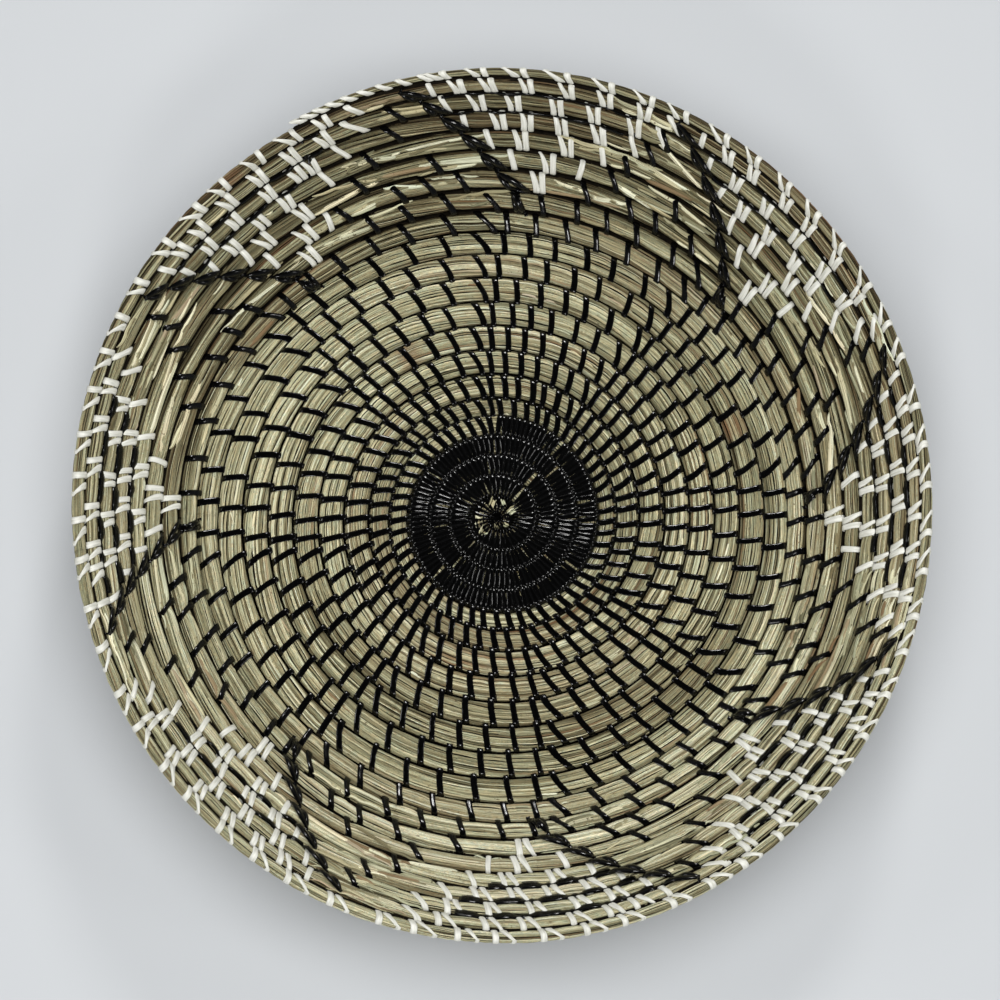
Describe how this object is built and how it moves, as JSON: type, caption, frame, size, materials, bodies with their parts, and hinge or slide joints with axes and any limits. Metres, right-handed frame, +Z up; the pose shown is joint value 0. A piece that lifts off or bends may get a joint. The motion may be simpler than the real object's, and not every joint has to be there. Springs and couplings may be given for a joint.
{
  "type": "coiled seagrass tray",
  "caption": "Round tray of coiled seagrass with a flat floor and a flared wall, a dark wrapped centre, dark and light stitching, and short slanting braids on the wall.",
  "frame": {"origin": "under the middle of the tray's outline, on the surface it stands on", "axes": "+Z up out of the tray, +Y away from the viewer in the picture, +X to the viewer's right"},
  "size_m": [0.3852, 0.3988, 0.0638],
  "materials": {
    "seagrass": "dried grass stalks, olive to straw, dull sheen along the stalk",
    "black_strip": "black flat strip, glossy",
    "white_strip": "warm white flat strip, soft sheen"
  },
  "bodies": {
    "root": {"core_coil": "seagrass", "centre_wrap": "black_strip", "start_knot": "black_strip", "braid_1": "black_strip", "braid_2": "black_strip", "braid_3": "black_strip", "braid_4": "black_strip", "braid_5": "black_strip", "braid_6": "black_strip", "braid_7": "black_strip", "braid_8": "black_strip"}
  },
  "joints": []
}
